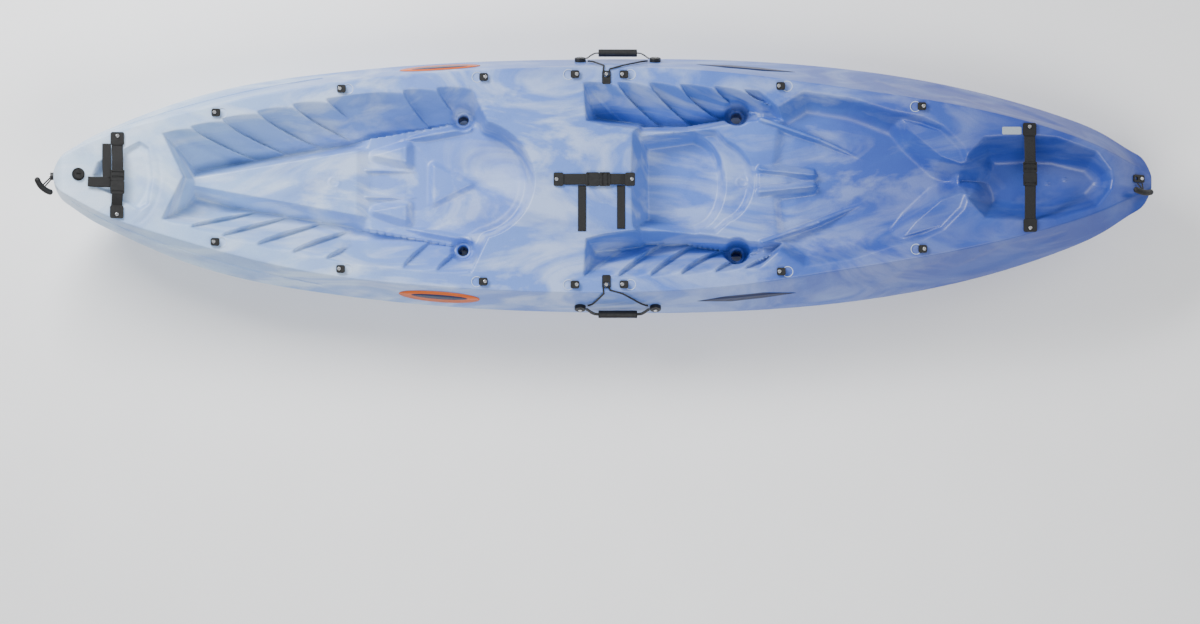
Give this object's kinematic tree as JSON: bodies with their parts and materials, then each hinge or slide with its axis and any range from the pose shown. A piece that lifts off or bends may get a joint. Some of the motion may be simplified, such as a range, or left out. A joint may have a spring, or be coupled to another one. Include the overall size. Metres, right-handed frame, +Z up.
{
  "type": "tandem sit-on-top kayak",
  "caption": "Hollow moulded sit-on-top kayak with moulded seats and footwells, deck lacing eyelets, carry handles, webbing straps with release buckles and a drain plug.",
  "frame": {"origin": "under the middle of the boat on its centreline, level with the flat of the keel", "axes": "+X towards the stern, so the bow is at -X; +Y to starboard; +Z up"},
  "size_m": [3.8118, 0.9282, 0.4722],
  "materials": {
    "hull_plastic": "satin rotomoulded polyethylene, marbled from white at the bow to blue at the stern",
    "black_nylon": "satin moulded nylon",
    "webbing": "woven webbing",
    "grip": "matt moulded grip",
    "shock_cord": "braided sleeve",
    "toggle_cord": "braided cord",
    "seal_rubber": "matt",
    "label": "blank plate",
    "steel": "passivated stainless"
  },
  "bodies": {
    "hull": {"blank_label_plate": "label", "bow_strap_anchors": "black_nylon", "bow_strap_buckle_female": "black_nylon", "bow_strap_tail": "webbing", "bow_strap_webbing": "webbing", "bow_toggle_knob": "black_nylon", "bow_toggle_screw": "steel", "centre_strap_anchors": "black_nylon", "centre_strap_buckle_female": "black_nylon", "centre_strap_tails": "webbing", "centre_strap_webbing": "webbing", "deck_stud_screws": "steel", "deck_studs": "black_nylon", "drain_bush": "black_nylon", "drain_seal": "seal_rubber", "hull_shell": "hull_plastic", "port_bungee_cord": "shock_cord", "port_deck_eyelets": "black_nylon", "port_eyelet_screws": "steel", "port_handle_bosses": "black_nylon", "port_handle_screws": "steel", "starboard_bungee_cord": "shock_cord", "starboard_deck_eyelets": "black_nylon", "starboard_eyelet_screws": "steel", "starboard_handle_bosses": "black_nylon", "starboard_handle_screws": "steel", "stern_eye_pad": "black_nylon", "stern_eye_screw": "steel", "stern_strap_anchors": "black_nylon", "stern_strap_buckle_female": "black_nylon", "stern_strap_webbing": "webbing", "strap_screws": "steel", "threaded_inserts": "steel"},
    "bow_toggle": {"bow_toggle_cord": "toggle_cord", "bow_toggle_grip": "grip"},
    "stern_toggle": {"stern_toggle_cord": "toggle_cord", "stern_toggle_grip": "grip"},
    "port_handle": {"port_handle_webbing": "webbing", "port_handle_grip": "grip"},
    "starboard_handle": {"starboard_handle_webbing": "webbing", "starboard_handle_grip": "grip"},
    "port_tab": {"port_bungee_tab": "black_nylon", "port_bungee_loop": "shock_cord"},
    "starboard_tab": {"starboard_bungee_tab": "black_nylon", "starboard_bungee_loop": "shock_cord"},
    "drain_plug": {"drain_plug": "black_nylon"},
    "bow_buckle": {"bow_strap_buckle_male": "black_nylon"},
    "stern_buckle": {"stern_strap_buckle_male": "black_nylon"},
    "centre_buckle": {"centre_strap_buckle_male": "black_nylon"}
  },
  "joints": [
    {"name": "bow_toggle_swing", "type": "hinge", "parent": "hull", "child": "bow_toggle", "pos_m": [-1.859, 0, 0.386], "axis": [0, 1, 0], "range_deg": [-15, 14]},
    {"name": "stern_toggle_swing", "type": "hinge", "parent": "hull", "child": "stern_toggle", "pos_m": [1.8466, -0.009, 0.2853], "axis": [-0.8575, 0, 0.5145], "range_deg": [0, 100]},
    {"name": "port_handle_swing", "type": "hinge", "parent": "hull", "child": "port_handle", "pos_m": [0.06403, -0.43389, 0.21582], "axis": [1, 0, -0.005], "range_deg": [-50, 50]},
    {"name": "starboard_handle_swing", "type": "hinge", "parent": "hull", "child": "starboard_handle", "pos_m": [0.06403, 0.43389, 0.21582], "axis": [1, 0, -0.005], "range_deg": [-50, 50]},
    {"name": "port_tab_flip", "type": "hinge", "parent": "hull", "child": "port_tab", "pos_m": [0.025, -0.37988, 0.32658], "axis": [1, 0, 0], "range_deg": [0, 88]},
    {"name": "starboard_tab_flip", "type": "hinge", "parent": "hull", "child": "starboard_tab", "pos_m": [0.025, 0.37988, 0.32658], "axis": [-1, 0, 0], "range_deg": [0, 88]},
    {"name": "drain_plug_turn", "type": "hinge", "parent": "hull", "child": "drain_plug", "pos_m": [-1.765, 0, 0.45631], "axis": [0.2234, 0, 0.9747], "continuous": true},
    {"name": "bow_buckle_release", "type": "slide", "parent": "hull", "child": "bow_buckle", "axis": [0, 1, 0], "range_m": [0, 0.028]},
    {"name": "stern_buckle_release", "type": "slide", "parent": "hull", "child": "stern_buckle", "axis": [0, 1, 0], "range_m": [0, 0.028]},
    {"name": "centre_buckle_release", "type": "slide", "parent": "hull", "child": "centre_buckle", "axis": [1, 0, 0.0011], "range_m": [0, 0.028]}
  ]
}
